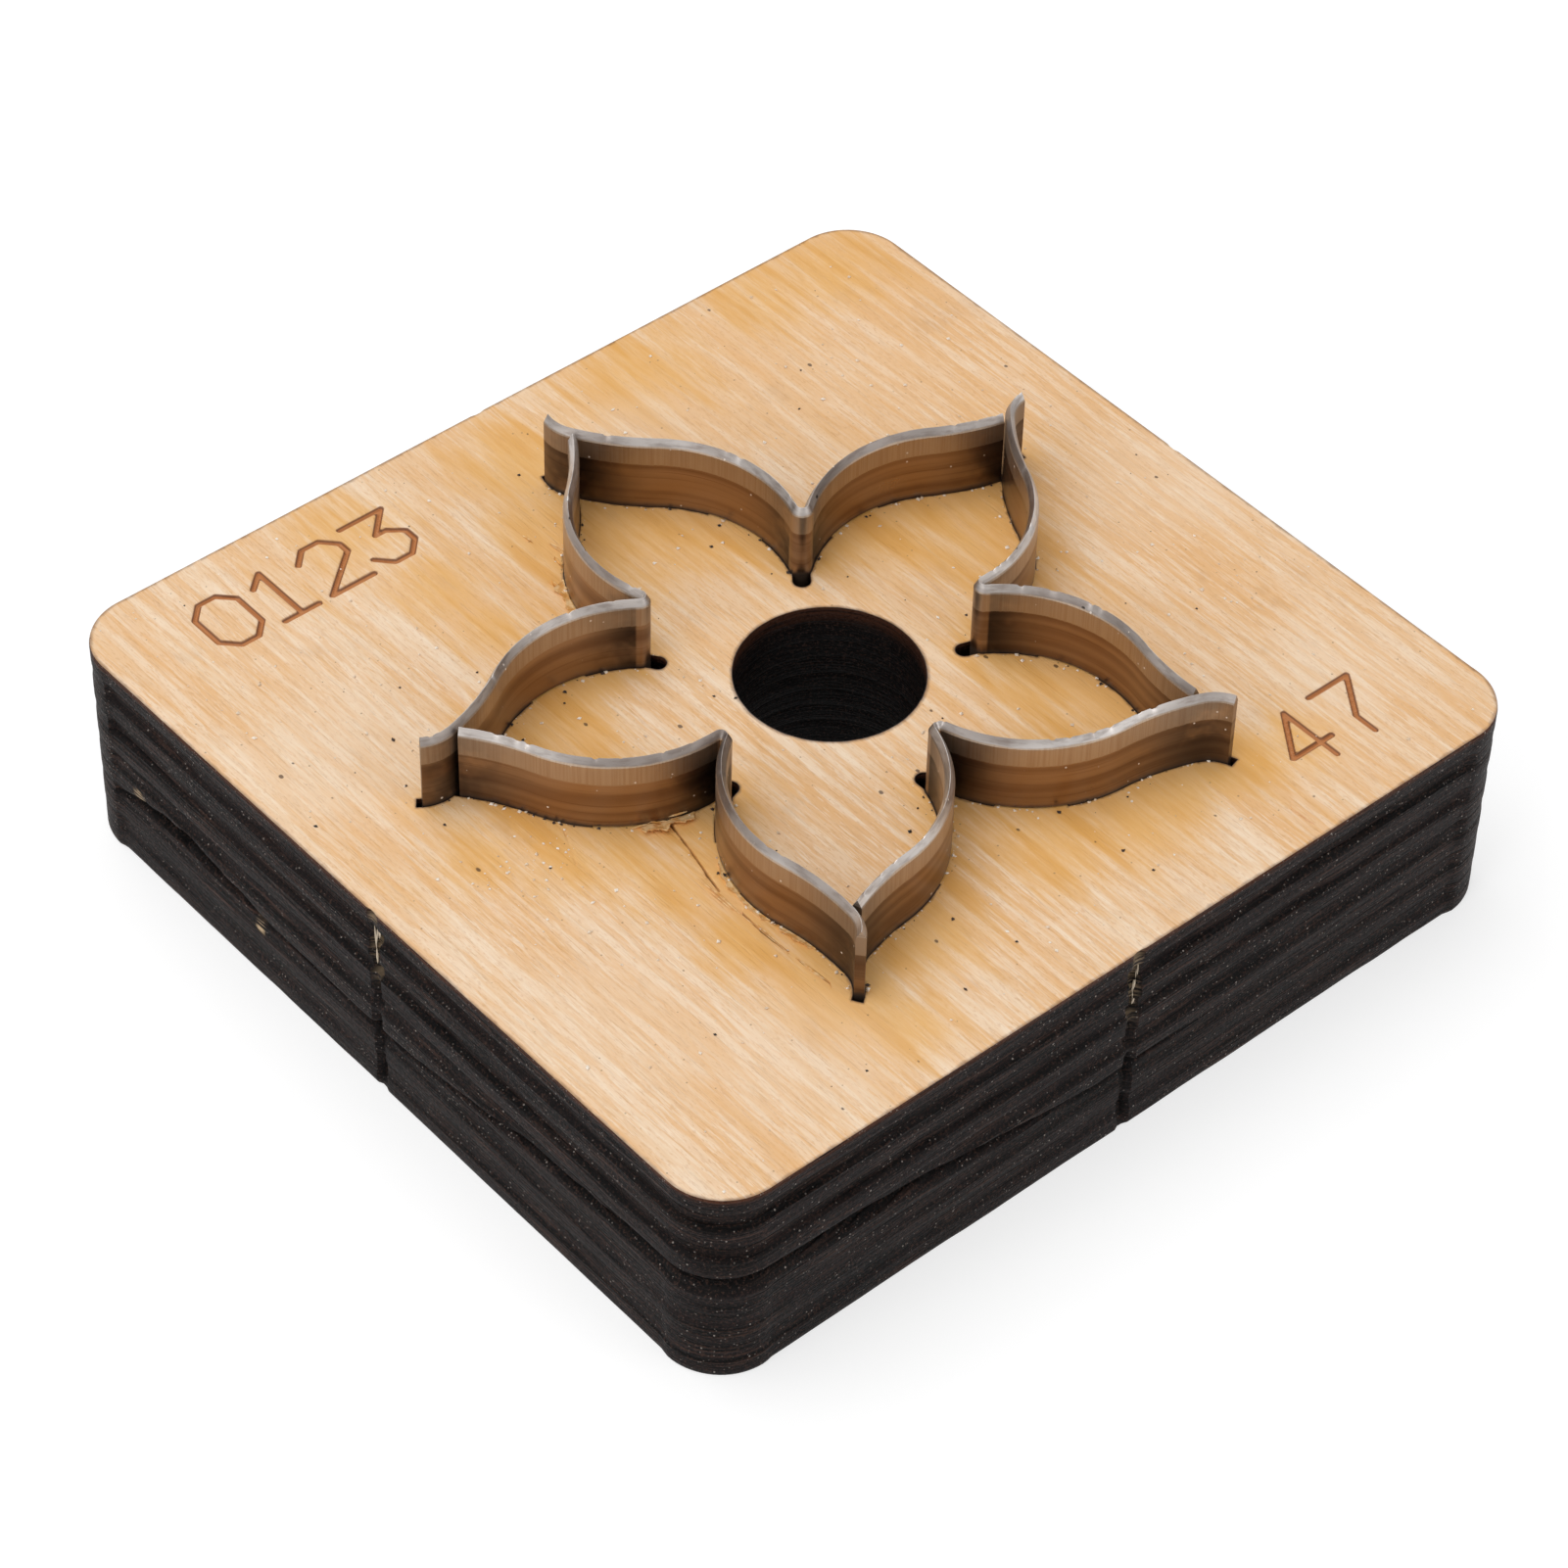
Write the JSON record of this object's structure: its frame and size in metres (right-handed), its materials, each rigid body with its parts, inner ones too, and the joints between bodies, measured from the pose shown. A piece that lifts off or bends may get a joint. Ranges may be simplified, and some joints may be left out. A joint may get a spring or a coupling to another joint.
{
  "type": "steel rule die",
  "caption": "Flower-shaped steel rule die: bent cutting rules pressed into a laser-cut plywood board with a round knock-out hole, for cutting leather, card or felt.",
  "frame": {"origin": "centre of the board's bottom face", "axes": "+X along the board's longer side, +Y towards the upper petal, +Z towards the cutting edges"},
  "size_m": [0.074, 0.071, 0.0238],
  "materials": {
    "board": "sanded plywood with charred laser-cut sides",
    "rule": "ground and oiled spring steel"
  },
  "bodies": {
    "root": {"die_board": "board", "cutting_rule_1": "rule", "cutting_rule_2": "rule", "cutting_rule_3": "rule", "cutting_rule_4": "rule", "cutting_rule_5": "rule"}
  },
  "joints": []
}
